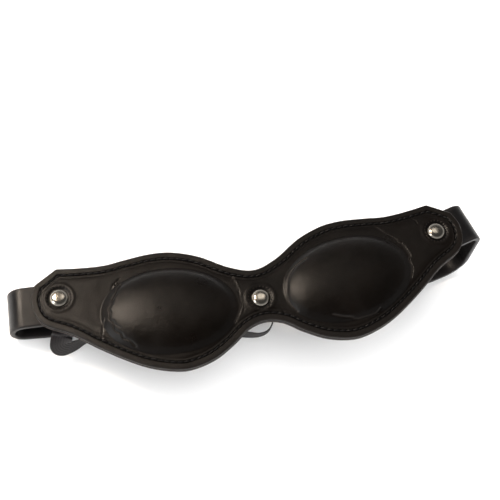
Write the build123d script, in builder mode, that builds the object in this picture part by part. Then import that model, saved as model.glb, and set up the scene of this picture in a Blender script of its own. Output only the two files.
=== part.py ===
"""Padded leather eye mask with two riveted straps, a buckle and a thin elastic band.

The mask lies face up on its curled, unfastened straps. All sizes are in millimetres.
Mask frame: origin at the centre rivet on the front border, X to the right end, Y to the upper
edge, Z out of the front. The model's own frame stands on the table, +Z up.
"""

from build123d import *
from math import atan, atan2, cos, degrees, radians, sin, tan
import os

# ---------------------------------------------------------------- driving dimensions
MASK_TILT = 7.0  # the right end stands higher, on the taller curl
MASK_ORIGIN = (-3.3, -4.38, 41.4)  # centre of the front border above the table

RIVET_X, RIVET_Y = 112.5, 22.0  # the two outer rivets
COVER, BOARD, LINING = 1.4, 2.2, 1.4  # face leather, stiff board, back leather
DOME_X, DOME_Y, DOME_ROLL = 52.5, 2.0, 7.0
FOAM_LENGTH, FOAM_WIDTH, FOAM_HEIGHT = 75.0, 50.0, 8.0

STITCH_MARGIN, STITCH_PITCH = 4.3, 3.7
STITCH_LENGTH, STITCH_WIDTH, STITCH_PROUD = 2.7, 0.8, 0.35

CAP_R, CAP_H, CAP_RIM, POST_R = 5.3, 2.1, 0.6, 2.0
BACK_CAP_R, BACK_CAP_H = 4.6, 1.6
SWIVEL_GAP = 0.08  # running clearance of a strap on its rivet

STRAP_WIDTH, STRAP = 25.0, 3.2
STRAP_MID = -8.2  # middle of a strap's near run, below the front border
STRAP_END, STRAP_CORNER = 11.0, 9.0  # reach past the rivet, and its corner radius
LEFT_HEADING, LEFT_NEAR_RUN, LEFT_TIP = -3.2, 20.0, 217.0
TIP_TAPER, TIP_FLAT = 20.0, 3.0
PUNCH_R, PUNCH_PITCH, PUNCH_COUNT, PUNCH_FROM_TIP = 2.0, 15.0, 5, 26.0
RIGHT_HEADING, RIGHT_NEAR_RUN, RIGHT_LOW_OUTER, RIGHT_LOW_INNER = 15.0, 27.5, 33.5, 9.0

CHAPE_SLOPE = 20.0  # the buckle end rises from the table
BAR_REACH = 46.5  # heel bar along the chape, from where the chape leaves the table
WIRE_R = 1.6
FOLD_GAP = 0.08
LAYER_STEP = STRAP - 0.2  # the returned layer is glued and pressed on the main one
RETURN_END, CHAPE_RIVET, CHAPE_CAP_R = 12.0, 18.1, 4.5
SLOT_HALF, SLOT_BACK, SLOT_FRONT = 2.0, 5.2, 6.0
FRAME_REACH, FRAME_HALF, HEEL_CORNER, FRONT_CORNER = 19.0, 14.6, 1.9, 4.0
TONGUE_WIDTH, TONGUE_THICK, TONGUE_REACH, TONGUE_GAP = 2.8, 2.4, 23.0, 0.2
KEEPER_AT, KEEPER_WIDTH, KEEPER, KEEPER_GAP = 29.0, 8.0, 1.5, 0.3
KEEPER_ROOM = 3.6  # under the chape, for the punched strap's end

ELASTIC_WIDTH, ELASTIC = 12.0, 0.8

# ---------------------------------------------------------------- frames
tilt = radians(MASK_TILT)
mask = Plane(MASK_ORIGIN, x_dir=(cos(tilt), 0, sin(tilt)), z_dir=(-sin(tilt), 0, cos(tilt)))
BACK_FACE = -(COVER + BOARD + LINING)


def on_mask(x, y, z):
    """A point given in the mask's frame."""
    return mask.from_local_coords(Vector(x, y, z))


def along_mask(x, y, z):
    """A direction given in the mask's frame."""
    return on_mask(x, y, z) - mask.origin


def strap_plane(rivet_x, heading):
    """The upright plane of a strap, with its origin on the table below its rivet."""
    turn = radians(heading)
    rivet = on_mask(rivet_x, RIVET_Y, 0)
    return Plane((rivet.X, rivet.Y, 0), x_dir=(cos(turn), sin(turn), 0), z_dir=(sin(turn), -cos(turn), 0))


def near_height(plane, rivet_x, heading, reach):
    """Height of the near run's middle, at a reach from the rivet along the strap."""
    middle = plane.to_local_coords(on_mask(rivet_x, RIVET_Y, STRAP_MID))
    return middle.Y + (reach - middle.X) * tan(tilt) * cos(radians(heading))


def save(piece, name):
    piece.part.label = name
    export_step(piece.part, f"parts/{name}.step")


os.makedirs("parts", exist_ok=True)

# ---------------------------------------------------------------- mask outline
UPPER_EDGE = [(0, 18.2), (14, 22.8), (30, 32.9), (45, 38.5), (58, 39.8), (72, 38.8), (84, 37.6),
              (98, 38.5), (114.5, 40.9)]
CHAMFER_END = (124.5, 33.8)
END_EDGE = [CHAMFER_END, (128, 24), (126.8, 13.5), (121.5, 6.6), (108.7, -0.8), (95, -11.7),
            (80, -22.3), (68, -29), (55, -33.3), (45, -33.9), (32, -30.6), (20, -23.8), (10, -16.6), (0, -14)]

with BuildSketch() as outline:
    with BuildLine():
        upper = Spline(UPPER_EDGE)
        Line(upper @ 1, CHAMFER_END)
        Spline(END_EDGE)
        mirror(about=Plane.YZ)
    make_face()
    fillet(outline.vertices().filter_by(lambda v: v.Y > RIVET_Y and abs(v.X) > RIVET_X), 2.5)


# ---------------------------------------------------------------- mask layers
def layer(top, thickness):
    """One flat layer of the mask, with holes for the rivet posts."""
    with BuildPart() as sheet:
        with BuildSketch(mask.offset(top - thickness)):
            add(outline.sketch)
            with Locations((0, 0), (-RIVET_X, RIVET_Y), (RIVET_X, RIVET_Y)):
                Circle(POST_R, mode=Mode.SUBTRACT)
        extrude(amount=thickness)
    return sheet


def dome(side, grow):
    """The upper half of a flattened ellipsoid over one eye, grown outwards by a thickness."""
    sizes = (FOAM_LENGTH / 2 + grow, FOAM_WIDTH / 2 + grow, FOAM_HEIGHT + grow)
    shape = scale(Sphere(1, mode=Mode.PRIVATE), by=sizes, mode=Mode.PRIVATE)
    shape = split(shape, bisect_by=Plane.XY, keep=Keep.TOP, mode=Mode.PRIVATE)
    return mask.location * Location((side * DOME_X, DOME_Y, -COVER), (0, 0, side * DOME_ROLL)) * shape


with BuildPart() as front_cover:
    add(layer(0, COVER).part)
    for side in (-1, 1):
        add(dome(side, COVER))
        add(dome(side, 0), mode=Mode.SUBTRACT)
save(front_cover, "front_cover")

for side, name in ((-1, "foam_left"), (1, "foam_right")):
    with BuildPart() as foam:
        add(dome(side, 0))
    save(foam, name)

save(layer(-COVER, BOARD), "stiffener")
save(layer(-COVER - BOARD, LINING), "back_lining")

# ---------------------------------------------------------------- border stitching
with BuildSketch(mode=Mode.PRIVATE) as seam_face:
    add(outline.sketch)
    offset(amount=-STITCH_MARGIN, mode=Mode.REPLACE)
seam = seam_face.face().outer_wire()
with BuildPart() as border_stitching:
    with BuildSketch(mask):
        for edge in seam.edges():
            count = round(edge.length / STITCH_PITCH)
            for number in range(count):
                step = (number + 0.5) / count
                middle, along = edge.position_at(step), edge.tangent_at(step)
                with Locations(Location((middle.X, middle.Y, 0), (0, 0, degrees(atan2(along.Y, along.X))))):
                    Rectangle(STITCH_LENGTH, STITCH_WIDTH)
    extrude(amount=STITCH_PROUD)
save(border_stitching, "border_stitching")


# ---------------------------------------------------------------- rivets
def rivet(place, grip, cap_r):
    """A domed rivet: its cap stands on the plane, its post and back cap reach below it."""
    with BuildPart() as cap:
        with BuildSketch(place):
            Circle(cap_r)
        extrude(amount=CAP_H)
        fillet(cap.faces().sort_by(Axis(place.origin, place.z_dir))[-1].edges(), CAP_H - CAP_RIM)
    with BuildPart() as post:
        with BuildSketch(place):
            Circle(POST_R)
        extrude(amount=-grip)
        with BuildSketch(place.offset(-grip)):
            Circle(cap_r * BACK_CAP_R / CAP_R)
        extrude(amount=-BACK_CAP_H)
        fillet(post.faces().sort_by(Axis(place.origin, place.z_dir))[0].edges(), BACK_CAP_H - CAP_RIM)
    return cap, post


STRAP_GRIP = -STRAP_MID + STRAP / 2 + 0.6
for x, y, grip, name in ((-RIVET_X, RIVET_Y, STRAP_GRIP, "left"), (0, 0, -BACK_FACE, "center"),
                         (RIVET_X, RIVET_Y, STRAP_GRIP, "right")):
    rivet_cap, rivet_post = rivet(Plane(on_mask(x, y, 0), x_dir=mask.x_dir, z_dir=mask.z_dir), grip, CAP_R)
    save(rivet_cap, "rivet_cap_" + name)
    save(rivet_post, "rivet_post_" + name)


# ---------------------------------------------------------------- left strap, the punched end
def finish_near_end(rivet_x, heading, reach):
    """Cut the strap for its rivet's post along the mask's normal, and round its short end."""
    plane = strap_plane(rivet_x, heading)
    inward = 1 if reach < 0 else -1
    with BuildSketch(Plane(on_mask(rivet_x, RIVET_Y, BACK_FACE), x_dir=plane.x_dir - mask.z_dir *
                           plane.x_dir.dot(mask.z_dir), z_dir=mask.z_dir)) as cuts:
        with Locations((reach, 0)):
            Rectangle(2 * STRAP_CORNER, STRAP_WIDTH + 2)
        with Locations((reach + inward * STRAP_WIDTH, 0)):
            RectangleRounded(2 * STRAP_WIDTH, STRAP_WIDTH, STRAP_CORNER, mode=Mode.SUBTRACT)
        Circle(POST_R + SWIVEL_GAP)
    extrude(cuts.sketch, amount=-2.4 * STRAP, mode=Mode.SUBTRACT)


left = strap_plane(-RIVET_X, LEFT_HEADING)
left_slope = atan(tan(tilt) * cos(radians(LEFT_HEADING)))
near_end = near_height(left, -RIVET_X, LEFT_HEADING, -LEFT_NEAR_RUN)
left_curl_r = (near_end - STRAP / 2) / (1 + cos(left_slope))

with BuildPart() as left_strap:
    with BuildSketch(left):
        with BuildLine():
            near = Line((STRAP_END, near_height(left, -RIVET_X, LEFT_HEADING, STRAP_END)),
                        (-LEFT_NEAR_RUN, near_end))
            curl = JernArc(near @ 1, near % 1, left_curl_r, 180 - degrees(left_slope))
            Line(curl @ 1, (LEFT_TIP, STRAP / 2))
        trace(line_width=STRAP)
    extrude(amount=STRAP_WIDTH / 2, both=True)
    tip_origin = left.from_local_coords(Vector(LEFT_TIP, 0, 0))
    with BuildSketch(Plane(tip_origin, x_dir=left.x_dir, z_dir=(0, 0, 1))):
        for side in (-1, 1):
            with BuildLine():
                Polyline((-TIP_TAPER, side * STRAP_WIDTH / 2), (0, side * TIP_FLAT),
                         (1, side * TIP_FLAT), (1, side * STRAP_WIDTH), (-TIP_TAPER, side * STRAP_WIDTH),
                         close=True)
            make_face()
        for number in range(PUNCH_COUNT):
            with Locations((-PUNCH_FROM_TIP - number * PUNCH_PITCH, 0)):
                Circle(PUNCH_R)
    extrude(amount=2 * STRAP, mode=Mode.SUBTRACT)
    finish_near_end(-RIVET_X, LEFT_HEADING, STRAP_END)
save(left_strap, "left_strap")

# ---------------------------------------------------------------- right strap, the buckle end
right = strap_plane(RIVET_X, RIGHT_HEADING)
chape_rise = radians(CHAPE_SLOPE)
BAR_HIGH = WIRE_R + FOLD_GAP + STRAP / 2  # heel bar above the main layer's middle
FOLD_STEP = 2 * BAR_HIGH


def chape_point(along, above):
    """A point of the chape in the right strap's plane: inwards from the table, and upwards."""
    return (RIGHT_LOW_INNER - along * cos(chape_rise) + above * sin(chape_rise),
            STRAP / 2 + along * sin(chape_rise) + above * cos(chape_rise))


def chape_plane(along, above):
    """The chape's own plane: X towards the buckle, Z out of its upper face."""
    return Plane(right.from_local_coords(Vector(*chape_point(along, above), 0)),
                 x_dir=-cos(chape_rise) * right.x_dir + sin(chape_rise) * Vector(0, 0, 1),
                 z_dir=sin(chape_rise) * right.x_dir + cos(chape_rise) * Vector(0, 0, 1))


with BuildPart() as right_strap:
    with BuildSketch(right):
        with BuildLine():
            outer = FilletPolyline(
                (-STRAP_END, near_height(right, RIVET_X, RIGHT_HEADING, -STRAP_END)),
                (RIGHT_NEAR_RUN, near_height(right, RIVET_X, RIGHT_HEADING, RIGHT_NEAR_RUN)),
                (RIGHT_LOW_OUTER, STRAP / 2), (RIGHT_LOW_INNER, STRAP / 2), chape_point(BAR_REACH, 0),
                radius=[8, 12, 20])
        trace(line_width=STRAP)
    extrude(amount=STRAP_WIDTH / 2, both=True)
    with BuildSketch(right):
        with BuildLine():
            fold = JernArc(outer @ 1, outer % 1, BAR_HIGH, -180)
            Polyline(fold @ 1, chape_point(BAR_REACH - 1.5, FOLD_STEP),
                     chape_point(BAR_REACH - 9, LAYER_STEP), chape_point(RETURN_END, LAYER_STEP))
        trace(line_width=STRAP)
    extrude(amount=STRAP_WIDTH / 2, both=True)
    with BuildSketch(chape_plane(BAR_REACH, BAR_HIGH)):
        with Locations(((SLOT_FRONT - SLOT_BACK) / 2, 0)):
            Rectangle(SLOT_FRONT + SLOT_BACK, 2 * SLOT_HALF)
    extrude(amount=3 * STRAP, both=True, mode=Mode.SUBTRACT)
    with BuildSketch(chape_plane(CHAPE_RIVET, 0)):
        Circle(POST_R)
    extrude(amount=2 * STRAP, both=True, mode=Mode.SUBTRACT)
    finish_near_end(RIVET_X, RIGHT_HEADING, -STRAP_END)
save(right_strap, "right_strap")

chape_top = chape_plane(CHAPE_RIVET, LAYER_STEP + STRAP / 2)
chape_rivet_cap, chape_rivet_post = rivet(chape_top, LAYER_STEP + STRAP, CHAPE_CAP_R)
save(chape_rivet_cap, "chape_rivet_cap")
save(chape_rivet_post, "chape_rivet_post")

# ---------------------------------------------------------------- buckle and keeper
bar = chape_plane(BAR_REACH, BAR_HIGH)
with BuildPart() as buckle_frame:
    with BuildLine(bar):
        loop = FilletPolyline((0, -FRAME_HALF), (FRAME_REACH, -FRAME_HALF), (FRAME_REACH, FRAME_HALF),
                              (0, FRAME_HALF), radius=[HEEL_CORNER, FRONT_CORNER, FRONT_CORNER, HEEL_CORNER],
                              close=True)
    with BuildSketch(Plane(loop @ 0, z_dir=loop % 0)):
        Circle(WIRE_R)
    sweep()
save(buckle_frame, "buckle_frame")

with BuildPart() as buckle_tongue:
    with BuildSketch(Plane(bar.origin, x_dir=bar.x_dir, z_dir=-bar.y_dir)):
        ring_r = WIRE_R + TONGUE_GAP + TONGUE_THICK
        Circle(ring_r)
        with Locations((TONGUE_REACH / 2, -ring_r + TONGUE_THICK / 2)):
            Rectangle(TONGUE_REACH, TONGUE_THICK)
        Circle(WIRE_R + FOLD_GAP, mode=Mode.SUBTRACT)
    extrude(amount=TONGUE_WIDTH / 2, both=True)
    fillet(buckle_tongue.faces().sort_by(Axis(bar.origin, bar.x_dir))[-1].edges(), 0.8)
save(buckle_tongue, "buckle_tongue")

with BuildPart() as strap_keeper:
    keeper_mid = chape_plane(KEEPER_AT, (LAYER_STEP - KEEPER_ROOM) / 2)
    with BuildSketch(Plane(keeper_mid.origin, x_dir=keeper_mid.y_dir, z_dir=keeper_mid.x_dir)):
        hole = (STRAP_WIDTH + 2 * KEEPER_GAP, LAYER_STEP + STRAP + KEEPER_ROOM + 2 * KEEPER_GAP)
        RectangleRounded(hole[0] + 2 * KEEPER, hole[1] + 2 * KEEPER, KEEPER + 0.5)
        RectangleRounded(*hole, 0.5, mode=Mode.SUBTRACT)
    extrude(amount=KEEPER_WIDTH)
save(strap_keeper, "strap_keeper")

# ---------------------------------------------------------------- elastic band
UNDER_LINING = BACK_FACE - 0.05 - ELASTIC / 2
# each station: middle of the band, then the direction across its width
ELASTIC_ROUTE = [
    ((-112.5, 29, UNDER_LINING), (-1, 0, 0)),
    ((-112.8, 6, UNDER_LINING), (-1, 0, 0)),
    ((-114.6, 1.4, -8.2), (-0.93, -0.15, -0.3)),
    ((-116.2, -1.4, -13), (-0.8, -0.35, -0.5)),
    ((-113.6, -2.2, -17.5), (-0.5, -0.35, -0.8)),
    ((-108, -0.6, -19.6), (-0.2, -0.15, -0.97)),
    ((-99, 2.6, -20), (0, 0.1, -1)),
    ((-80, 6, -20), (0, 0, -1)),
    ((-58, 4, -21), (0, 0, -1)),
    ((-36, -2, -23), (0, 0, -1)),
    ((-20, -7.4, -24.4), (0, 0, -1)),
    ((-9, -11.2, -25), (0, 0.1, -1)),
    ((-2, -12.8, -25), (0, 0.2, -1)),
    ((3.6, -11.4, -24.8), (0, 0.2, -1)),
    ((7.2, -7, -24), (0, 0.1, -1)),
    ((9.6, -0.6, -22.6), (0.1, 0, -1)),
    ((15, 5.6, -19.6), (0, -0.2, -1)),
    ((27, 11, -14), (0.1, -0.6, -0.8)),
    ((41, 15, -8.4), (0.1, -0.9, -0.4)),
    ((56, 17.4, UNDER_LINING), (0, -1, 0)),
    ((118, 22.3, UNDER_LINING), (0, -1, 0)),
]
middles = [on_mask(*middle) for middle, across in ELASTIC_ROUTE]
with BuildPart() as elastic_band:
    for number, (middle, across) in enumerate(ELASTIC_ROUTE):
        before, after = middles[max(number - 1, 0)], middles[min(number + 1, len(middles) - 1)]
        ahead = (after - before).normalized()
        width = along_mask(*across)
        width = width - ahead * width.dot(ahead)
        with BuildSketch(Plane(middles[number], x_dir=width, z_dir=ahead)):
            Rectangle(ELASTIC_WIDTH, ELASTIC)
    loft(ruled=True)
    for rivet_x in (-RIVET_X, RIVET_X):
        with BuildSketch(Plane(on_mask(rivet_x, RIVET_Y, 0), x_dir=mask.x_dir, z_dir=mask.z_dir)):
            Circle(POST_R)
        extrude(amount=STRAP_MID, mode=Mode.SUBTRACT)
save(elastic_band, "elastic_band")
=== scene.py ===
"""Looks of the padded leather eye mask: leather shells, stitching, rivets, straps and elastic."""

import math

import bmesh
import bpy
import numpy as np
from mathutils import Matrix, Vector


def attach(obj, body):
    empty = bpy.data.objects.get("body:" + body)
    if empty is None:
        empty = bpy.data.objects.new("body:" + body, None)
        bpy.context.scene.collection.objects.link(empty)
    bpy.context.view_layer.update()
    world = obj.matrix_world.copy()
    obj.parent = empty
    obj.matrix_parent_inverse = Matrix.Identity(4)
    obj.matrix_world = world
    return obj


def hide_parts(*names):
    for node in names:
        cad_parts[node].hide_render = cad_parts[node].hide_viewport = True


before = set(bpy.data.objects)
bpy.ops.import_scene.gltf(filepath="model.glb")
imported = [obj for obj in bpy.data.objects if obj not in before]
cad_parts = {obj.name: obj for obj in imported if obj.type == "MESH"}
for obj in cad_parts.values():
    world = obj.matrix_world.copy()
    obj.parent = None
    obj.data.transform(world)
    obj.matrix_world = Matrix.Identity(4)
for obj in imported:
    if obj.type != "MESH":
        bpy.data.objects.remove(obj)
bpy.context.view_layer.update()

MM = 0.001

# ---------------------------------------------------------------- sizes, in millimetres
MASK_TILT = math.radians(7.0)
MASK_ORIGIN = np.array([-3.3, -4.38, 41.4])
RIVET_X, RIVET_Y = 112.5, 22.0
COVER, BOARD, LINING = 1.4, 2.2, 1.4
DOME_X, DOME_Y, DOME_ROLL = 52.5, 2.0, math.radians(7.0)
DOME_LONG, DOME_WIDE, DOME_HIGH = 38.9, 26.4, 9.4
STITCH_MARGIN, STITCH_PITCH = 4.3, 3.7
THREAD_R = 0.42
CAP_H, CAP_SINK = 2.1, 0.15
BACK = -(COVER + BOARD + LINING)
RIVETS = (("left", -RIVET_X, RIVET_Y), ("center", 0, 0), ("right", RIVET_X, RIVET_Y))

AXIS_X = np.array([math.cos(MASK_TILT), 0, math.sin(MASK_TILT)])
AXIS_Y = np.array([0, 1.0, 0])
AXIS_Z = np.array([-math.sin(MASK_TILT), 0, math.cos(MASK_TILT)])


def on_mask(points):
    """Points of the mask's frame, in millimetres, as points of the row frame, in metres."""
    p = np.atleast_2d(np.asarray(points, float))
    return (MASK_ORIGIN + p[:, :1] * AXIS_X + p[:, 1:2] * AXIS_Y + p[:, 2:3] * AXIS_Z) * MM


# ---------------------------------------------------------------- mesh helpers
def make_mesh(name, points, faces, smooth=True):
    mesh = bpy.data.meshes.new(name)
    mesh.from_pydata([tuple(p) for p in points], [], [tuple(f) for f in faces])
    mesh.update()
    piece = bpy.data.objects.new(name, mesh)
    bpy.context.collection.objects.link(piece)
    for face in mesh.polygons:
        face.use_smooth = smooth
    return piece


def paint(piece, name, values):
    """A soft value at each vertex, which a material reads by name."""
    layer = piece.data.attributes.new(name, "FLOAT", "POINT")
    layer.data.foreach_set("value", np.asarray(values, np.float32))


def catmull(points, steps):
    """A smooth line through points, with a number of steps between neighbours."""
    p = np.asarray(points, float)
    p = np.vstack([2 * p[0] - p[1], p, 2 * p[-1] - p[-2]])
    t = np.linspace(0, 1, steps, endpoint=False)[:, None]
    rows = []
    for a, b, c, d in zip(p[:-3], p[1:-2], p[2:-1], p[3:]):
        rows.append(0.5 * (2 * b + (c - a) * t + (2 * a - 5 * b + 4 * c - d) * t**2
                           + (3 * b - a - 3 * c + d) * t**3))
    return np.vstack(rows + [p[-2:-1]])


def resample(line, count):
    """Evenly spaced points on an open line."""
    steps = np.r_[0, np.cumsum(np.linalg.norm(np.diff(line, axis=0), axis=1))]
    at = np.linspace(0, steps[-1], count)
    return np.column_stack([np.interp(at, steps, line[:, k]) for k in range(line.shape[1])])


def smoothstep(x, low, high):
    t = np.clip((x - low) / (high - low), 0, 1)
    return t * t * (3 - 2 * t)


def tube_faces(count, around, first=0):
    """Side faces between rings of points, one ring after another."""
    faces = []
    for i in range(count - 1):
        for j in range(around):
            k = (j + 1) % around
            near, far = first + i * around, first + (i + 1) * around
            faces.append((near + j, near + k, far + k, far + j))
    return faces


def tidy_normals(piece):
    mesh = bmesh.new()
    mesh.from_mesh(piece.data)
    bmesh.ops.recalc_face_normals(mesh, faces=mesh.faces)
    mesh.to_mesh(piece.data)
    mesh.free()


# ---------------------------------------------------------------- mask outline
UPPER_EDGE = [(0, 18.2), (14, 22.8), (30, 32.9), (45, 38.5), (58, 39.8), (72, 38.8), (84, 37.6),
              (98, 38.5), (114.5, 40.9)]
CHAMFER_END = (124.5, 33.8)
END_EDGE = [CHAMFER_END, (128, 24), (126.8, 13.5), (121.5, 6.6), (108.7, -0.8), (95, -11.7),
            (80, -22.3), (68, -29), (55, -33.3), (45, -33.9), (32, -30.6), (20, -23.8), (10, -16.6), (0, -14)]
OUTLINE_SAMPLES, CURVE_STEPS, CORNER_PASSES = 1500, 24, 8
POINTS_AT_ONCE = 4000  # keeps the distance tables small
EDGE_CROWDING = 0.35   # how much closer the grid's rows lie at the mask's edges


def half_outline():
    """The right half of the outline, from the upper middle clockwise to the lower middle."""
    upper = catmull([(-14, 22.8)] + UPPER_EDGE, CURVE_STEPS)[CURVE_STEPS:]
    lower = catmull(END_EDGE + [(-10, -16.6)], CURVE_STEPS)[:-CURVE_STEPS]
    return np.vstack([upper[:-4], lower[3:]])


right_half = resample(half_outline(), OUTLINE_SAMPLES)
for _ in range(CORNER_PASSES):
    right_half[1:-1] = right_half[1:-1] / 2 + (right_half[:-2] + right_half[2:]) / 4
outline = np.vstack([right_half, (right_half * (-1, 1))[::-1][1:-1]])
end_index = int(np.argmax(right_half[:, 0]))
upper_half, lower_half = right_half[:end_index + 1], right_half[end_index:][::-1]
HALF_LENGTH = right_half[end_index, 0]


def edge_distance(x, y):
    """Distance of each point to the outline."""
    points = np.column_stack([x.ravel(), y.ravel()])
    near = np.empty(len(points))
    for start in range(0, len(points), POINTS_AT_ONCE):
        part = points[start:start + POINTS_AT_ONCE]
        near[start:start + POINTS_AT_ONCE] = np.sqrt(
            ((part[:, None, :] - outline[None, ::2, :])**2).sum(2).min(1))
    return near.reshape(x.shape)


def mask_grid(columns, rows):
    """A grid of points that fills the outline, with its rows and columns closer at the edges."""
    along = HALF_LENGTH * np.sin(np.linspace(-math.pi / 2, math.pi / 2, columns) * 0.999)
    across = (np.sin(np.linspace(-math.pi / 2, math.pi / 2, rows)) * EDGE_CROWDING
              + np.linspace(-1, 1, rows) * (1 - EDGE_CROWDING))
    top = np.interp(np.abs(along), upper_half[:, 0], upper_half[:, 1])
    low = np.interp(np.abs(along), lower_half[:, 0], lower_half[:, 1])
    x = np.repeat(along[:, None], rows, 1)
    y = low[:, None] + (top - low)[:, None] * (across[None, :] + 1) / 2
    return x, y


def grid_faces(columns, rows, first, flip):
    faces = []
    for i in range(columns - 1):
        for j in range(rows - 1):
            a = first + i * rows + j
            face = (a, a + rows, a + rows + 1, a + 1)
            faces.append(face[::-1] if flip else face)
    return faces


def rim_indices(columns, rows):
    """The grid's rim, in order."""
    return ([i * rows for i in range(columns)] + [(columns - 1) * rows + j for j in range(1, rows)]
            + [i * rows + rows - 1 for i in range(columns - 2, -1, -1)] + [j for j in range(rows - 2, 0, -1)])


def sheet_solid(name, columns, rows, top, bottom, inset=0.0):
    """A closed sheet between two height functions, a little inside the outline if inset says so."""
    x, y = mask_grid(columns, rows)
    near = edge_distance(x, y)
    scale = 1 - inset / 60
    upper = np.column_stack([(x * scale).ravel(), (y * scale + inset * 0.05).ravel(),
                             top(x, y, near).ravel()])
    lower = upper.copy()
    lower[:, 2] = bottom(x, y, near).ravel()
    points = np.vstack([upper, lower])
    count = columns * rows
    faces = grid_faces(columns, rows, 0, False) + grid_faces(columns, rows, count, True)
    rim = rim_indices(columns, rows)
    for a, b in zip(rim, rim[1:] + rim[:1]):
        faces.append((b, a, a + count, b + count))
    piece = make_mesh(name, on_mask(points), faces)
    return piece, x, y, near


# ---------------------------------------------------------------- leather relief
def dome_height(x, y):
    """Height of the moulded domes over the front border, before they are blended into it."""
    high = np.full(x.shape, -COVER)
    for side in (-1, 1):
        dx, dy = x - side * DOME_X, y - DOME_Y
        turn = side * DOME_ROLL
        u = (dx * math.cos(turn) + dy * math.sin(turn)) / DOME_LONG
        v = (-dx * math.sin(turn) + dy * math.cos(turn)) / DOME_WIDE
        rise = np.sqrt(np.clip(1 - u * u - v * v, 0, 1))
        high = np.maximum(high, -COVER + DOME_HIGH * rise)
    return high


def line_distance(x, y, points):
    """Distance of each grid point to a smooth line through a few points."""
    line = catmull(points, 6)
    nearest = np.full(x.shape, 1e9)
    for (ax, ay), (bx, by) in zip(line[:-1], line[1:]):
        dx, dy = bx - ax, by - ay
        t = np.clip(((x - ax) * dx + (y - ay) * dy) / (dx * dx + dy * dy), 0, 1)
        nearest = np.minimum(nearest, np.hypot(x - ax - t * dx, y - ay - t * dy))
    return nearest


# folds where the leather cracked beside the domes: points along each, then depth and width
CREASES = [
    ([(-77, 23), (-79.6, 19.6), (-80.6, 17.2), (-83.2, 13.6), (-83.4, 11.4), (-85.8, 8.6), (-85.3, 5.4),
      (-86.4, 2.5), (-84.3, -0.8), (-85, -3.4), (-83.6, -6), (-81.6, -7.6), (-80.6, -10.4), (-77.4, -12.6),
      (-75, -16)], 0.95, 0.42),
    ([(-77, 27), (-81, 24), (-83, 20.5)], 0.25, 0.4),
    ([(-88.6, 3.6), (-91, -1), (-92.4, -7)], 0.4, 0.35),
    ([(-84.6, 1), (-83.4, -2.4), (-81.6, -4)], 0.5, 0.35),
    ([(-13.6, 17), (-12.2, 11), (-11.4, 4.4), (-11.6, -2), (-14, -7), (-17.6, -12.5)], 0.35, 0.4),
    ([(-9.5, 4), (-10.2, -2), (-11.6, -7)], 0.2, 0.4),
    ([(78, 31.5), (82, 26.5), (86, 23), (88.6, 18.6), (91, 16.2), (91.6, 13.4)], 0.4, 0.35),
    ([(89.6, 18.5), (91.4, 13.8), (92.6, 9.4), (91.2, 6.2), (91.6, 1), (89.4, -4.9)], 0.45, 0.4),
    ([(31, 17.6), (24.6, 14.6), (20, 10.5), (16.9, 5), (15.4, -1.4), (16, -6.6), (18.8, -12.4)], 0.6, 0.5),
    ([(38, -19.6), (44, -21.8), (48, -22.6), (51, -24), (57, -23.6), (63, -22.6), (66, -20.4)], 0.65, 0.42),
    ([(98, 35), (101.5, 31.5), (102.5, 28.6)], 0.25, 0.35),
    ([(9.5, -7), (11, -10.5), (10.5, -13.5)], 0.18, 0.45),
]
GLINTS = (0, 2, 3, 4, 6, 7, 8, 9)  # the creases that get a painted highlight beside their lip
# how far the painted highlight sits from each crease line, and how wide it is
LIP_X, LIP_Y, LIP_WIDE = -0.45, 0.25, 0.22


def crease_depth(x, y):
    depth = np.zeros(x.shape)
    for points, deep, wide in CREASES:
        depth = np.maximum(depth, deep * np.exp(-(line_distance(x, y, points) / wide)**2))
    return depth


BEADS, BEAD_RING, BEAD_WIDE, BEAD_HIGH = 22, 6.9, 0.4, 0.22
PRESS_DEEP, PRESS_FROM, PRESS_TO = 0.65, 5.6, 7.6
SWELL_HIGH, SWELL_RING, SWELL_WIDE = 0.25, 8.2, 1.1


def rivet_specks(dx, dy):
    """Small pricked beads in a broken ring round a rivet; the ring sets both their bumps and their painted
    highlights.
    """
    around = np.arctan2(dy, dx)
    beads = np.clip(np.cos(around * BEADS + 0.6 * np.sin(3 * around)), 0, 1)**2
    return beads * np.exp(-((np.hypot(dx, dy) - BEAD_RING) / BEAD_WIDE)**2)


def rivet_press(x, y):
    """The leather pressed down round each rivet, swollen outside that, with beads between."""
    press = np.zeros(x.shape)
    for _, rx, ry in RIVETS:
        r = np.hypot(x - rx, y - ry)
        press += PRESS_DEEP * (1 - smoothstep(r, PRESS_FROM, PRESS_TO))
        press -= SWELL_HIGH * np.exp(-((r - SWELL_RING) / SWELL_WIDE)**2)
        press -= BEAD_HIGH * rivet_specks(x - rx, y - ry)
    return press


def waves(x, y, size, seed):
    """Soft irregular waves, the same on every run."""
    rng = np.random.default_rng(seed)
    total = np.zeros(x.shape)
    for _ in range(7):
        angle, phase = rng.uniform(0, 2 * math.pi, 2)
        long = size * rng.uniform(0.7, 1.5)
        total += np.sin((x * math.cos(angle) + y * math.sin(angle)) * 2 * math.pi / long + phase)
    return total / 7


PILLOW_HIGH, PILLOW_WAVE, DOME_SOFT = 0.35, 0.12, 2.6
SEAM_DEEP, SEAM_WIDE = 0.55, 0.62
TOOL_DEEP, TOOL_WIDE, TOOL_OFF = 0.18, 0.7, 1.9  # a second, shallow line inside the seam
RIM_DROP, RIM_WIDE, FINE_WAVE = 0.75, 0.9, 0.05


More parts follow.
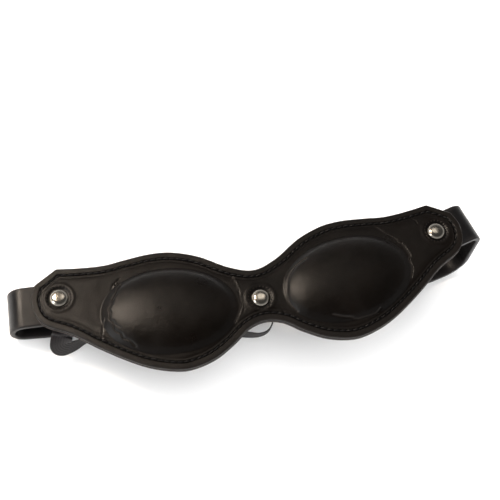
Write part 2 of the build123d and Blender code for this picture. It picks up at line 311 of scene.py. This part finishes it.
def cover_height(x, y, near):
    """The front leather's height: border, seam, soft field and domes."""
    dome = dome_height(x, y)
    pillow = PILLOW_HIGH * smoothstep(near, STITCH_MARGIN + 0.3, STITCH_MARGIN + 6)
    base = pillow + PILLOW_WAVE * waves(x, y, 26, 3) * smoothstep(near, 5, 9)
    blend = np.clip(0.5 + 0.5 * (dome - base) / DOME_SOFT, 0, 1)
    high = base * (1 - blend) + dome * blend + DOME_SOFT * blend * (1 - blend) * 0.5
    high -= SEAM_DEEP * np.exp(-((near - STITCH_MARGIN) / SEAM_WIDE)**2)
    high -= TOOL_DEEP * np.exp(-((near - STITCH_MARGIN - TOOL_OFF) / TOOL_WIDE)**2)
    high -= RIM_DROP * (1 - smoothstep(near, 0, RIM_WIDE))**2
    high += FINE_WAVE * waves(x, y, 11, 5)
    return high - rivet_press(x, y) - crease_depth(x, y)


def cover_bottom(x, y, near):
    """The front leather's underside, hollow below the domes."""
    inside = dome_height(x, y) - COVER
    return np.maximum(-COVER + 0.02, np.minimum(inside, cover_height(x, y, near) - 0.5))


# ---------------------------------------------------------------- materials
class Shader:
    """Short calls for building one node material."""

    def __init__(self, name):
        self.material = bpy.data.materials.new(name)
        self.material.use_nodes = True
        self.nodes = self.material.node_tree.nodes
        self.links = self.material.node_tree.links
        self.bsdf = self.nodes["Principled BSDF"]
        self.place = self.nodes.new("ShaderNodeTexCoord").outputs["Object"]

    def add(self, kind, **inputs):
        node = self.nodes.new("ShaderNode" + kind)
        for key, value in inputs.items():
            self.put(node.inputs[key.replace("_", " ")], value)
        return node

    def put(self, socket, value):
        if isinstance(value, bpy.types.NodeSocket):
            self.links.new(value, socket)
        else:
            socket.default_value = value

    def noise(self, scale, detail=4.0, rough=0.55):
        return self.add("TexNoise", Vector=self.place, Scale=scale, Detail=detail,
                        Roughness=rough).outputs["Fac"]

    def cells(self, scale, feature="DISTANCE_TO_EDGE"):
        node = self.add("TexVoronoi", Vector=self.place, Scale=scale)
        node.feature = feature
        return node.outputs["Distance"]

    def span(self, value, from_low, from_high, to_low, to_high):
        node = self.nodes.new("ShaderNodeMapRange")
        for index, item in enumerate((value, from_low, from_high, to_low, to_high)):
            self.put(node.inputs[index], item)
        return node.outputs[0]

    def mix(self, factor, a, b):
        node = self.nodes.new("ShaderNodeMix")
        node.data_type = "RGBA"
        self.put(node.inputs[0], factor)
        self.put(node.inputs[6], a)
        self.put(node.inputs[7], b)
        return node.outputs[2]

    def math(self, operation, a, b=0.0):
        node = self.nodes.new("ShaderNodeMath")
        node.operation = operation
        self.put(node.inputs[0], a)
        self.put(node.inputs[1], b)
        return node.outputs[0]

    def attribute(self, name):
        node = self.nodes.new("ShaderNodeAttribute")
        node.attribute_name = name
        return node.outputs["Fac"]

    def bump(self, height, strength, distance, normal=None):
        node = self.nodes.new("ShaderNodeBump")
        node.inputs["Strength"].default_value = strength
        node.inputs["Distance"].default_value = distance
        self.put(node.inputs["Height"], height)
        if normal is not None:
            self.put(node.inputs["Normal"], normal)
        return node.outputs["Normal"]

    def finish(self, color, rough, normal=None, **fixed):
        self.put(self.bsdf.inputs["Base Color"], color)
        self.put(self.bsdf.inputs["Roughness"], rough)
        if normal is not None:
            self.put(self.bsdf.inputs["Normal"], normal)
        for key, value in fixed.items():
            self.bsdf.inputs[key.replace("_", " ")].default_value = value
        return self.material


# near-black colour painted in as shade: in the stitch grooves, the creases and the dips round the rivets
LEATHER_PAINTED_SHADE = (0.0006, 0.0005, 0.0005, 1)


def leather(name, base, light, worn, rough, grain=0.35):
    """Black grained leather: pores and cells in the bump, brownish cast; from the mesh's paint, wear and
    painted highlights that lighten it and painted shade that darkens it.
    """
    s = Shader(name)
    cloud = s.noise(38.0, 5.0)
    speck = s.noise(900.0, 3.0)
    color = s.mix(s.span(cloud, 0.35, 0.7, 0.0, 1.0), base, light)
    color = s.mix(s.span(speck, 0.55, 0.8, 0.0, 0.5), color, light)
    # real wear on the rims and painted highlights on crease lips and rivet beads, mixed towards the worn
    # colour
    color = s.mix(s.math("MULTIPLY", s.attribute("wear_and_glint"), s.span(speck, 0.3, 0.7, 0.5, 1.0)), color, worn)
    # painted shade: grooves, creases and rivet dips darkened towards near black
    color = s.mix(s.attribute("painted_shade"), color, LEATHER_PAINTED_SHADE)
    roughness = s.span(s.noise(70.0, 6.0), 0.3, 0.7, rough - 0.07, rough + 0.1)
    roughness = s.math("ADD", roughness, s.math("MULTIPLY", s.attribute("wear_and_glint"), 0.12))
    cells = s.span(s.cells(1500.0), 0.0, 0.25, 0.0, 1.0)
    grain_height = s.math("ADD", s.math("MULTIPLY", cells, 0.6), s.noise(2600.0, 4.0))
    normal = s.bump(s.noise(160.0, 5.0), 0.25, 0.0006)
    normal = s.bump(grain_height, grain, 0.00012, normal)
    return s.finish(color, roughness, normal, Specular_IOR_Level=0.28)


def raw_edge(name, base, light):
    """Cut fibrous edge of stacked leather, with fine layers."""
    s = Shader(name)
    wave = s.noise(700.0, 6.0, 0.7)
    color = s.mix(s.span(wave, 0.35, 0.7, 0.0, 1.0), base, light)
    return s.finish(color, 0.85, s.bump(wave, 0.6, 0.0004))


def thread_material():
    s = Shader("waxed_thread")
    twist = s.add("TexWave", Vector=s.place, Scale=900.0, Distortion=1.5).outputs["Fac"]
    color = s.mix(twist, (0.0006, 0.0005, 0.0005, 1), (0.003, 0.0025, 0.0022, 1))
    return s.finish(color, 0.5, s.bump(twist, 0.5, 0.0001))


def elastic_material():
    s = Shader("ribbed_elastic")
    weave = s.noise(3000.0, 2.0)
    rib = s.attribute("rib")
    color = s.mix(rib, (0.001, 0.0008, 0.0009, 1), (0.009, 0.0065, 0.0072, 1))
    color = s.mix(s.span(weave, 0.4, 0.7, 0.0, 0.45), color, (0.014, 0.0105, 0.0115, 1))
    return s.finish(color, 0.75, s.bump(weave, 0.5, 0.0002), Sheen_Weight=0.05)


def metal_material(name, base, rough):
    s = Shader(name)
    scratches = s.noise(1200.0, 5.0, 0.7)
    worn = tuple(0.8 * c for c in base[:3]) + (1,)
    color = s.mix(s.span(s.noise(300.0), 0.45, 0.75, 0.0, 1.0), base, worn)
    roughness = s.span(scratches, 0.3, 0.75, rough, rough + 0.1)
    return s.finish(color, roughness, s.bump(scratches, 0.08, 0.00005), Metallic=1.0)


def foam_material():
    s = Shader("foam")
    pores = s.cells(1400.0, "F1")
    color = s.mix(pores, (0.03, 0.03, 0.03, 1), (0.09, 0.09, 0.085, 1))
    return s.finish(color, 0.95, s.bump(pores, 0.7, 0.0004))


COVER_LEATHER = leather("cover_leather", (0.0014, 0.0009, 0.0006, 1), (0.0026, 0.0016, 0.0010, 1),
                        (0.045, 0.037, 0.031, 1), rough=0.33)
STRAP_LEATHER = leather("strap_leather", (0.0025, 0.0022, 0.0023, 1), (0.005, 0.0045, 0.0047, 1),
                        (0.02, 0.018, 0.017, 1), rough=0.34, grain=0.25)
LINING_LEATHER = leather("lining_leather", (0.022, 0.019, 0.018, 1), (0.042, 0.036, 0.033, 1),
                         (0.12, 0.10, 0.09, 1), rough=0.7, grain=0.6)
BOARD_EDGE = raw_edge("board_edge", (0.0012, 0.0009, 0.0008, 1), (0.005, 0.0037, 0.0031, 1))
THREAD = thread_material()
ELASTIC_CLOTH = elastic_material()
NICKEL = metal_material("polished_nickel", (0.68, 0.63, 0.55, 1), 0.16)
FOAM = foam_material()


def dress(piece, material, body="pad"):
    piece.data.materials.clear()
    piece.data.materials.append(material)
    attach(piece, body)
    return piece


# ---------------------------------------------------------------- mask sheets
COLUMNS, ROWS = ((640, 210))


def paint_sheet(piece, name, values):
    """One painted value for both faces of a sheet."""
    paint(piece, name, np.tile(values.ravel(), 2))


def make_cover():
    cover, x, y, near = sheet_solid("cover_front_leather", COLUMNS, ROWS, cover_height, cover_bottom)
    # the stitch groove, which gets painted shade and mostly loses the wear and highlight paint
    groove = np.exp(-((near - STITCH_MARGIN) / 0.9)**2)
    border = (1 - smoothstep(near, STITCH_MARGIN - 1.0, STITCH_MARGIN + 0.2))
    # painted shade in the creases, as strong as they are deep
    crease_shade = np.clip(crease_depth(x, y), 0, 1)
    # painted highlights: a lighter streak beside the lip of each listed crease
    glint = np.zeros(x.shape)
    for points, deep, _ in [CREASES[k] for k in GLINTS]:
        lip = line_distance(x, y, [(px + LIP_X, py + LIP_Y) for px, py in points])
        glint = np.maximum(glint, (0.3 + 0.6 * deep) * np.exp(-(lip / LIP_WIDE)**2))
    rim = 1 - smoothstep(near, 0, 0.8)
    # real wear on the border and the rim, plus the painted crease highlights, mostly kept out of the stitch
    # groove
    wear_and_glint = np.clip(0.05 * border + 0.3 * rim + glint, 0, 1) * (1 - 0.8 * groove)
    # painted shade: a dark ring in the pressed dip round each rivet
    ring = np.zeros(x.shape)
    # painted highlights on the beads round each rivet
    bead_glints = np.zeros(x.shape)
    for _, rx, ry in RIVETS:
        ring = np.maximum(ring, np.exp(-(np.hypot(x - rx, y - ry) - 6.3)**2))
        bead_glints = np.maximum(bead_glints, rivet_specks(x - rx, y - ry))
    wear_and_glint = np.maximum(wear_and_glint, bead_glints)
    # painted shade in the stitch groove, the creases and the rivet dips, left off the bead highlights
    painted_shade = np.clip(0.85 * groove + 0.95 * crease_shade + 0.85 * ring, 0, 1) * (1 - bead_glints)
    paint_sheet(cover, "wear_and_glint", wear_and_glint)
    paint_sheet(cover, "painted_shade", painted_shade)
    dress(cover, COVER_LEATHER)
    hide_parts("front_cover")


def flat(level, wobble):
    """A nearly flat face at one height."""
    return lambda x, y, near: level + wobble * waves(x, y, 9, 1)


def make_board():
    board = sheet_solid("stiffening_board", 260, 80, flat(-COVER, 0.04), flat(-COVER - BOARD, 0.05), 0.35)[0]
    dress(board, BOARD_EDGE)
    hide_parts("stiffener")


def lining_bottom(x, y, near):
    """The back leather's outer face, with the seam pressed in and the rim rounded."""
    level = BACK + 0.06 * waves(x, y, 14, 8)
    level += 0.35 * np.exp(-((near - STITCH_MARGIN) / 0.7)**2)
    return level + 0.5 * (1 - smoothstep(near, 0, 0.8))**2


def make_lining():
    lining, _, _, near = sheet_solid("lining_back_leather", 420, 140, flat(-COVER - BOARD, 0.05),
                                     lining_bottom, 0.1)
    paint_sheet(lining, "wear_and_glint", 0.5 * (1 - smoothstep(near, 0, 1.0)))
    # painted shade along the pressed seam of the back leather
    paint_sheet(lining, "painted_shade", 0.7 * np.exp(-((near - STITCH_MARGIN) / 0.8)**2))
    dress(lining, LINING_LEATHER)
    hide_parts("back_lining")


# ---------------------------------------------------------------- stitching
def seam_line():
    """The stitch line, evenly stepped, a fixed margin inside the outline."""
    before, after = np.roll(outline, 1, 0), np.roll(outline, -1, 0)
    along = after - before
    along /= np.linalg.norm(along, axis=1)[:, None]
    inward = np.column_stack([along[:, 1], -along[:, 0]])
    line = outline + inward * STITCH_MARGIN
    near = edge_distance(line[:, 0], line[:, 1])
    line = line[near > STITCH_MARGIN - 0.05]
    line = np.vstack([line, line[:1]])
    length = np.linalg.norm(np.diff(line, axis=0), axis=1).sum()
    return resample(line, round(length / STITCH_PITCH) + 1)


def make_stitches(name, level, side):
    """Saddle stitches: short thread bows that dip into their holes."""
    line = seam_line()
    points, faces = [], []
    around, along = 8, 7
    for a, b in zip(line[:-1], line[1:]):
        step = b - a
        length = np.linalg.norm(step)
        ahead = step / length
        across = np.array([-ahead[1], ahead[0]])
        first = len(points)
        for i in range(along):
            t = i / (along - 1)
            reach = length * (0.10 + 0.80 * t)
            lift = 0.42 * math.sin(math.pi * t) - 0.3
            thick = THREAD_R * (0.72 + 0.28 * math.sin(math.pi * t))
            skew = 0.22 * (t - 0.5)
            for j in range(around):
                angle = 2 * math.pi * j / around
                p = a + ahead * reach + across * (math.cos(angle) * thick + skew)
                points.append((p[0], p[1], level + side * (lift + math.sin(angle) * thick)))
        faces += tube_faces(along, around, first)
        faces.append(tuple(first + j for j in range(around))[::-1])
        faces.append(tuple(first + (along - 1) * around + j for j in range(around)))
    piece = make_mesh(name, on_mask(points), faces)
    tidy_normals(piece)
    return dress(piece, THREAD)


# ---------------------------------------------------------------- rivets
def lathe(name, profile, origin, axis_x, axis_y, axis_z, around=64):
    """A turned piece: its profile is radius and height, the first and last points on the axis."""
    points = []
    for r, z in profile[1:-1]:
        for j in range(around):
            angle = 2 * math.pi * j / around
            out = axis_x * math.cos(angle) + axis_y * math.sin(angle)
            points.append(origin + out * r + axis_z * z)
    rings = len(profile) - 2
    faces = tube_faces(rings, around)
    for index, (ring, flip) in ((0, (0, True)), (-1, (rings - 1, False))):
        points.append(origin + axis_z * profile[index][1])
        tip = len(points) - 1
        for j in range(around):
            k = (j + 1) % around
            face = (ring * around + j, ring * around + k, tip)
            faces.append(face[::-1] if flip else face)
    piece = make_mesh(name, np.array(points) * MM, faces)
    tidy_normals(piece)
    return piece


# a pressed cap: radius and drop from its top, a shallow crown inside a rolled rim
CAP_CROWN = [(0, 0), (0.7, 0.01), (1.6, 0.05), (2.5, 0.14), (3.2, 0.28), (3.8, 0.5), (4.3, 0.8), (4.7, 1.14),
             (5.0, 1.5), (5.2, 1.78), (5.29, 1.95), (5.3, 2.05)]


def make_caps():
    profile = [(r, CAP_H - drop) for r, drop in CAP_CROWN] + [(5.2, 0.0), (0, 0.0)]
    for where, x, y in RIVETS:
        origin = on_mask((x, y, -CAP_SINK))[0] / MM
        cap = lathe("cap_" + where, profile, origin, AXIS_X, AXIS_Y, AXIS_Z)
        dress(cap, NICKEL)
        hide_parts("rivet_cap_" + where)


# ---------------------------------------------------------------- elastic
UNDER_LINING = BACK - 0.05 - 0.4
# the band's middle and the way across it, in the mask's frame
ELASTIC_ROUTE = [
    ((-112.5, 29, UNDER_LINING), (-1, 0, 0)), ((-112.8, 6, UNDER_LINING), (-1, 0, 0)),
    ((-114.6, 1.4, -8.2), (-0.93, -0.15, -0.3)), ((-116.2, -1.4, -13), (-0.8, -0.35, -0.5)),
    ((-113.6, -2.2, -17.5), (-0.5, -0.35, -0.8)), ((-108, -0.6, -19.6), (-0.2, -0.15, -0.97)),
    ((-99, 2.6, -20), (0, 0.1, -1)), ((-80, 6, -20), (0, 0, -1)), ((-58, 4, -21), (0, 0, -1)),
    ((-36, -2, -23), (0, 0, -1)), ((-20, -7.4, -24.4), (0, 0, -1)), ((-9, -11.2, -25), (0, 0.1, -1)),
    ((-2, -12.8, -25), (0, 0.2, -1)), ((3.6, -11.4, -24.8), (0, 0.2, -1)), ((7.2, -7, -24), (0, 0.1, -1)),
    ((9.6, -0.6, -22.6), (0.1, 0, -1)), ((15, 5.6, -19.6), (0, -0.2, -1)), ((27, 11, -14), (0.1, -0.6, -0.8)),
    ((41, 15, -8.4), (0.1, -0.9, -0.4)), ((56, 17.4, UNDER_LINING), (0, -1, 0)),
    ((118, 22.3, UNDER_LINING), (0, -1, 0)),
]
ELASTIC_WIDTH, ELASTIC_THICK, RIBS = 12.0, 0.8, 8


def make_elastic():
    """A flat woven band with raised ribs along it."""
    middle = catmull([m for m, w in ELASTIC_ROUTE], 14)
    wide = catmull([w for m, w in ELASTIC_ROUTE], 14)
    middle[:, 2] = np.minimum(middle[:, 2], UNDER_LINING)
    ahead = np.gradient(middle, axis=0)
    ahead /= np.linalg.norm(ahead, axis=1)[:, None]
    wide -= ahead * (wide * ahead).sum(1)[:, None]
    wide /= np.linalg.norm(wide, axis=1)[:, None]
    out = np.cross(ahead, wide)
    across = np.linspace(-0.5, 0.5, RIBS * 6 + 1)
    rib = 1 - np.abs(np.cos(across * math.pi * RIBS))
    rows, values = [], []
    for side in (1, -1):
        order = range(len(across)) if side > 0 else range(len(across) - 1, -1, -1)
        for k in order:
            edge = 1 - abs(across[k]) * 2
            half_thick = ELASTIC_THICK / 2 * (0.62 + 0.38 * rib[k]) * (0.5 if edge < 0.01 else 1)
            rows.append(middle + wide * across[k] * ELASTIC_WIDTH + out * side * half_thick)
            values.append(np.full(len(middle), rib[k]))
    count, around = len(middle), len(rows)
    points = np.stack(rows, 1).reshape(-1, 3)
    faces = tube_faces(count, around)
    faces.append(tuple(range(around)))
    faces.append(tuple((count - 1) * around + j for j in range(around))[::-1])
    band = make_mesh("elastic_head_band", on_mask(points), faces)
    tidy_normals(band)
    paint(band, "rib", np.stack(values, 1).ravel())
    dress(band, ELASTIC_CLOTH)
    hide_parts("elastic_band")


# ---------------------------------------------------------------- straps
STRAP_WIDTH, STRAP, STRAP_MID, STRAP_END, STRAP_CORNER = 25.0, 3.2, -8.2, 11.0, 9.0
LEFT_HEADING, LEFT_NEAR_RUN, LEFT_TIP, TIP_TAPER, TIP_FLAT = -3.2, 20.0, 217.0, 20.0, 3.0
PUNCH_R, PUNCH_PITCH, PUNCH_COUNT, PUNCH_FROM_TIP = 2.0, 15.0, 5, 26.0
RIGHT_HEADING, RIGHT_NEAR_RUN, RIGHT_LOW_OUTER, RIGHT_LOW_INNER = 15.0, 27.5, 33.5, 9.0
RIGHT_RADII, RETURN_RADII = (8, 12, 20), (2.5, 6)
CHAPE_SLOPE, BAR_REACH, BAR_HIGH, LAYER_STEP, RETURN_END = math.radians(20.0), 46.5, 3.28, 3.0, 12.0
SLOT_HALF, SLOT_BACK, SLOT_FRONT = 2.0, 5.2, 6.0
EDGE_CORNER, EDGE_WEAR = 0.95, 0.55  # the burnished edges of a strap
UP = np.array([0, 0, 1.0])


def strap_frame(rivet_x, heading):
    """The table point below a strap's rivet, and the strap's direction and the one across it."""
    turn = math.radians(heading)
    rivet = on_mask((rivet_x, RIVET_Y, 0))[0] / MM
    return (np.array([rivet[0], rivet[1], 0]), np.array([math.cos(turn), math.sin(turn), 0]),
            np.array([-math.sin(turn), math.cos(turn), 0]))


def near_height(rivet_x, heading, reach):
    """Height of a strap's middle where it lies along the mask's back."""
    middle = on_mask((rivet_x, RIVET_Y, STRAP_MID))[0] / MM
    origin, along, _ = strap_frame(rivet_x, heading)
    slope = math.tan(MASK_TILT) * math.cos(math.radians(heading))
    return middle[2] + (reach - (middle - origin).dot(along)) * slope


def arc(centre, radius, first, sweep, count=48):
    angles = first + sweep * np.linspace(0, 1, count)
    return np.column_stack([centre[0] + radius * np.cos(angles), centre[1] + radius * np.sin(angles)])


def rounded(points, radii):
    """A polyline in the strap's upright plane, with its corners rounded."""
    p = [np.array(q, float) for q in points]
    line = [p[0]]
    for before, corner, after, radius in zip(p[:-2], p[1:-1], p[2:], radii):
        a = (before - corner) / np.linalg.norm(before - corner)
        b = (after - corner) / np.linalg.norm(after - corner)
        half_turn = math.acos(np.clip(a.dot(b), -1, 1)) / 2
        reach = radius / math.tan(half_turn)
        centre = corner + (a + b) / np.linalg.norm(a + b) * radius / math.sin(half_turn)
        start, end = corner + a * reach - centre, corner + b * reach - centre
        first = math.atan2(start[1], start[0])
        sweep = (math.atan2(end[1], end[0]) - first + math.pi) % (2 * math.pi) - math.pi
        line.extend(arc(centre, radius, first, sweep, 24))
    return np.array(line + [p[-1]])


def section(half_width, steps=5, flats=10):
    """A strap's cross-section with burnished, rounded edges: across, up and how worn it is."""
    half_thick = STRAP / 2
    corner = min(EDGE_CORNER, half_width * 0.9)
    ring, worn = [], []
    for quarter in range(4):
        sx, sy = ((1, 1), (-1, 1), (-1, -1), (1, -1))[quarter]
        centre = (sx * (half_width - corner), sy * (half_thick - corner))
        for k in range(steps + 1):
            angle = quarter * math.pi / 2 + k / steps * math.pi / 2
            ring.append((centre[0] + corner * math.cos(angle), centre[1] + corner * math.sin(angle)))
            worn.append(EDGE_WEAR)
        if quarter in (0, 2):
            start, end = ring[-1][0], -ring[-1][0]
            for k in range(1, flats):
                ring.append((start + (end - start) * k / flats, sy * half_thick))
                worn.append(0.0)
    return np.array(ring), np.array(worn)


def sweep_strap(name, line, frame_axes, half_width_at):
    """A strap along a line in its upright plane, with a half width for each distance along it."""
    origin, along, across = frame_axes
    steps = np.r_[0, np.cumsum(np.linalg.norm(np.diff(line, axis=0), axis=1))]
    keep = np.r_[True, np.diff(steps) > 1e-6]
    line, steps = line[keep], steps[keep]
    length = steps[-1]
    extra = np.r_[np.linspace(0, 12, 25), np.linspace(length - 24, length, 49), np.arange(0, length, 1.5)]
    at = np.unique(np.round(np.r_[steps, extra[(extra >= 0) & (extra <= length)]], 4))
    path = np.column_stack([np.interp(at, steps, line[:, k]) for k in (0, 1)])
    ahead = np.gradient(path, at, axis=0)
    ahead /= np.linalg.norm(ahead, axis=1)[:, None]
    rows, worn = [], []
    for point, way, reach in zip(path, ahead, at):
        ring, wear_and_glint = section(max(half_width_at(reach, length), 0.3))
        out = np.array([-way[1], way[0]])
        place = point[None, :] + ring[:, 1:] * out[None, :]
        rows.append(origin + place[:, :1] * along + ring[:, :1] * across + place[:, 1:] * UP)
        worn.append(wear_and_glint)
    around = len(rows[0])
    faces = tube_faces(len(rows), around)
    faces.append(tuple(range(around)))
    faces.append(tuple((len(rows) - 1) * around + j for j in range(around)))
    strap = make_mesh(name, np.vstack(rows) * MM, faces)
    tidy_normals(strap)
    paint(strap, "wear_and_glint", np.concatenate(worn))
    return strap


def round_end(reach):
    """Half width at a strap's riveted end, where its corners are rounded."""
    short = max(STRAP_CORNER - reach, 0)
    return STRAP_WIDTH / 2 - STRAP_CORNER + math.sqrt(max(STRAP_CORNER**2 - short**2, 0))


def cut(piece, cutter):
    """Take one mesh out of another for good."""
    change = piece.modifiers.new("cut", "BOOLEAN")
    change.object, change.operation, change.solver = cutter, "DIFFERENCE", "EXACT"
    bpy.context.view_layer.update()
    shape = piece.evaluated_get(bpy.context.evaluated_depsgraph_get())
    mesh = bpy.data.meshes.new_from_object(shape)
    piece.modifiers.clear()
    piece.data = mesh
    bpy.data.objects.remove(cutter)


def make_left_strap():
    axes = strap_frame(-RIVET_X, LEFT_HEADING)
    slope = math.atan(math.tan(MASK_TILT) * math.cos(math.radians(LEFT_HEADING)))
    near_end = np.array([-LEFT_NEAR_RUN, near_height(-RIVET_X, LEFT_HEADING, -LEFT_NEAR_RUN)])
    radius = (near_end[1] - STRAP / 2) / (1 + math.cos(slope))
    centre = near_end + radius * np.array([math.sin(slope), -math.cos(slope)])
    curl = arc(centre, radius, math.pi / 2 + slope, math.pi - slope)
    start = [STRAP_END, near_height(-RIVET_X, LEFT_HEADING, STRAP_END)]
    line = np.vstack([start, curl, [LEFT_TIP, STRAP / 2]])

    def half_width(reach, length):
        from_tip = length - reach
        tip = TIP_FLAT + (STRAP_WIDTH / 2 - TIP_FLAT) * min(from_tip / TIP_TAPER, 1)
        return min(round_end(reach), tip)

    strap = sweep_strap("strap_punched", line, axes, half_width)
    origin, along, across = axes
    cutters = []
    for number in range(PUNCH_COUNT):
        place = origin + along * (LEFT_TIP - PUNCH_FROM_TIP - number * PUNCH_PITCH)
        pin = [(0, -2), (PUNCH_R, -2), (PUNCH_R, 6), (0, 6)]
        cutters.append(lathe("punch", pin, place, along, across, UP, 32))
    with bpy.context.temp_override(active_object=cutters[0], object=cutters[0],
                                   selected_editable_objects=cutters):
        bpy.ops.object.join()
    cut(strap, cutters[0])
    dress(strap, STRAP_LEATHER, "left_strap")
    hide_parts("left_strap")


def chape_point(along, above):
    """A point of the folded end, in the strap's upright plane."""
    return (RIGHT_LOW_INNER - along * math.cos(CHAPE_SLOPE) + above * math.sin(CHAPE_SLOPE),
            STRAP / 2 + along * math.sin(CHAPE_SLOPE) + above * math.cos(CHAPE_SLOPE))


def make_right_strap():
    axes = strap_frame(RIVET_X, RIGHT_HEADING)
    main = rounded([(-STRAP_END, near_height(RIVET_X, RIGHT_HEADING, -STRAP_END)),
                    (RIGHT_NEAR_RUN, near_height(RIVET_X, RIGHT_HEADING, RIGHT_NEAR_RUN)),
                    (RIGHT_LOW_OUTER, STRAP / 2), (RIGHT_LOW_INNER, STRAP / 2), chape_point(BAR_REACH, 0)],
                   RIGHT_RADII)
    fold = arc(chape_point(BAR_REACH, BAR_HIGH), BAR_HIGH, -math.pi / 2 - CHAPE_SLOPE, -math.pi, 24)
    back = rounded([chape_point(BAR_REACH - 0.2, 2 * BAR_HIGH), chape_point(BAR_REACH - 1.5, 2 * BAR_HIGH),
                    chape_point(BAR_REACH - 9, LAYER_STEP), chape_point(RETURN_END, LAYER_STEP)],
                   RETURN_RADII)
    strap = sweep_strap("strap_buckle", np.vstack([main[:-1], fold, back]), axes,
                        lambda reach, length: round_end(reach))
    origin, along, across = axes
    corners = []
    for u in (BAR_REACH - SLOT_BACK, BAR_REACH + SLOT_FRONT):
        for w in (-SLOT_HALF, SLOT_HALF):
            for v in (-8, 14):
                s, z = chape_point(u, v)
                corners.append(origin + along * s + across * w + UP * z)
    box_faces = [(0, 1, 3, 2), (4, 6, 7, 5), (0, 4, 5, 1), (2, 3, 7, 6), (0, 2, 6, 4), (1, 5, 7, 3)]
    slot = make_mesh("slot", np.array(corners) * MM, box_faces, False)
    tidy_normals(slot)
    cut(strap, slot)
    dress(strap, STRAP_LEATHER, "right_strap")
    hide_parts("right_strap")


# ---------------------------------------------------------------- CAD nodes that keep their shape
def keep_cad(material, *names):
    for name in names:
        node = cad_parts[name]
        node.data.materials.clear()
        node.data.materials.append(material)


# ---------------------------------------------------------------- camera and light
# the camera's place, its right and its way ahead, in the mask's frame
CAMERA = np.array([-91.4, -241.3, 575.8])
CAMERA_RIGHT = np.array([0.975, -0.216, 0.053])
CAMERA_AHEAD = np.array([0.143, 0.423, -0.895])


def turn_to_row(v):
    return v[0] * AXIS_X + v[1] * AXIS_Y + v[2] * AXIS_Z


def make_camera():
    data = bpy.data.cameras.new("camera")
    data.lens, data.sensor_width = 79.2, 36.0
    camera = bpy.data.objects.new("camera", data)
    bpy.context.collection.objects.link(camera)
    back = -turn_to_row(CAMERA_AHEAD)
    back /= np.linalg.norm(back)
    right = turn_to_row(CAMERA_RIGHT)
    right -= back * right.dot(back)
    right /= np.linalg.norm(right)
    up = np.cross(back, right)
    matrix = Matrix([[right[i], up[i], back[i]] for i in range(3)]).to_4x4()
    matrix.translation = Vector(on_mask(CAMERA)[0])
    camera.matrix_world = matrix
    bpy.context.scene.camera = camera


def area_light(name, place, target, size, power, color=(1, 1, 1), mirrored=True):
    data = bpy.data.lights.new(name, "AREA")
    data.shape, data.size, data.size_y = "RECTANGLE", size[0], size[1]
    data.energy, data.color = power, color
    lamp = bpy.data.objects.new(name, data)
    bpy.context.collection.objects.link(lamp)
    lamp.visible_glossy = mirrored
    lamp.location = place
    lamp.rotation_mode = "QUATERNION"
    lamp.rotation_quaternion = (Vector(target) - Vector(place)).to_track_quat("-Z", "Y")


FLOOR, FLOOR_LEVEL = 6.0, -0.0003
SKY_LOW, SKY_HIGH = (0.2, 0.42), (0.72, 0.05)  # how steep a direction is, and how bright the sky there


def make_floor():
    corners = [(x * FLOOR, y * FLOOR, FLOOR_LEVEL) for x, y in ((-1, -1), (1, -1), (1, 1), (-1, 1))]
    floor = make_mesh("floor", corners, [(0, 1, 2, 3)], False)
    s = Shader("floor_white")
    s.finish((0.93, 0.93, 0.93, 1), 0.6)
    floor.data.materials.append(s.material)


def make_world():
    world = bpy.data.worlds.new("studio")
    bpy.context.scene.world = world
    world.use_nodes = True
    nodes, links = world.node_tree.nodes, world.node_tree.links
    place = nodes.new("ShaderNodeTexCoord")
    split = nodes.new("ShaderNodeSeparateXYZ")
    ramp = nodes.new("ShaderNodeMapRange")
    links.new(place.outputs["Generated"], split.inputs[0])
    links.new(split.outputs["Z"], ramp.inputs[0])
    for socket, value in enumerate((SKY_LOW[0], SKY_HIGH[0], SKY_LOW[1], SKY_HIGH[1]), 1):
        ramp.inputs[socket].default_value = value
    links.new(ramp.outputs[0], nodes["Background"].inputs["Strength"])
    nodes["Background"].inputs["Color"].default_value = (1, 1, 1, 1)


def mirror_place(x, y, distance):
    """Where a lamp stands for the camera to see it mirrored at one point of the front, and that point."""
    def level(a, b):
        return max(float(dome_height(np.array([a]), np.array([b]))[0]), 0.0)

    reach = 0.5
    slope = [(level(x + reach, y) - level(x - reach, y)) / (2 * reach),
             (level(x, y + reach) - level(x, y - reach)) / (2 * reach)]
    normal = -slope[0] * AXIS_X - slope[1] * AXIS_Y + AXIS_Z
    normal /= np.linalg.norm(normal)
    point = on_mask((x, y, level(x, y)))[0]
    view = np.array(bpy.context.scene.camera.location) - point
    view /= np.linalg.norm(view)
    return tuple(point + distance * (2 * normal.dot(view) * normal - view)), tuple(point)


def make_lights():
    area_light("overhead", (0.0, 0.1, 1.6), (0, 0, 0), (2.6, 2.6), 48, mirrored=False)
    for name, x, y in (("front", 0.1, -1.3), ("back", -0.1, 1.3), ("left", -1.3, 0), ("right", 1.3, 0.1)):
        area_light(name + "_fill", (x, y, 0.55), (0, 0, 0), (1.4, 0.7), 7.5, mirrored=False)
    place, target = mirror_place(-80, 5, 0.8)
    area_light("glow", place, target, (0.2, 0.2), 5.2, (1.0, 0.85, 0.7))
    place, target = mirror_place(12, 1, 1.0)
    area_light("cap_panel", place, target, (0.42, 0.3), 0.42, (1.0, 0.94, 0.86))
    area_light("left_strip", (-0.8, -0.15, 0.3), (-0.1, 0, 0.02), (0.3, 0.5), 1.5)


make_camera()
make_floor()
make_world()
make_lights()
bpy.context.scene.view_settings.view_transform = "Standard"
make_cover()
make_board()
make_lining()
front_thread = make_stitches("stitches_front", 0.02, 1)
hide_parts("border_stitching")
make_stitches("stitches_back", BACK - 0.02, -1)
make_caps()
make_elastic()
keep_cad(FOAM, "foam_left", "foam_right")
make_left_strap()
make_right_strap()
keep_cad(STRAP_LEATHER, "strap_keeper")
keep_cad(NICKEL, "rivet_post_left", "rivet_post_center", "rivet_post_right", "chape_rivet_cap",
         "chape_rivet_post", "buckle_frame", "buckle_tongue")
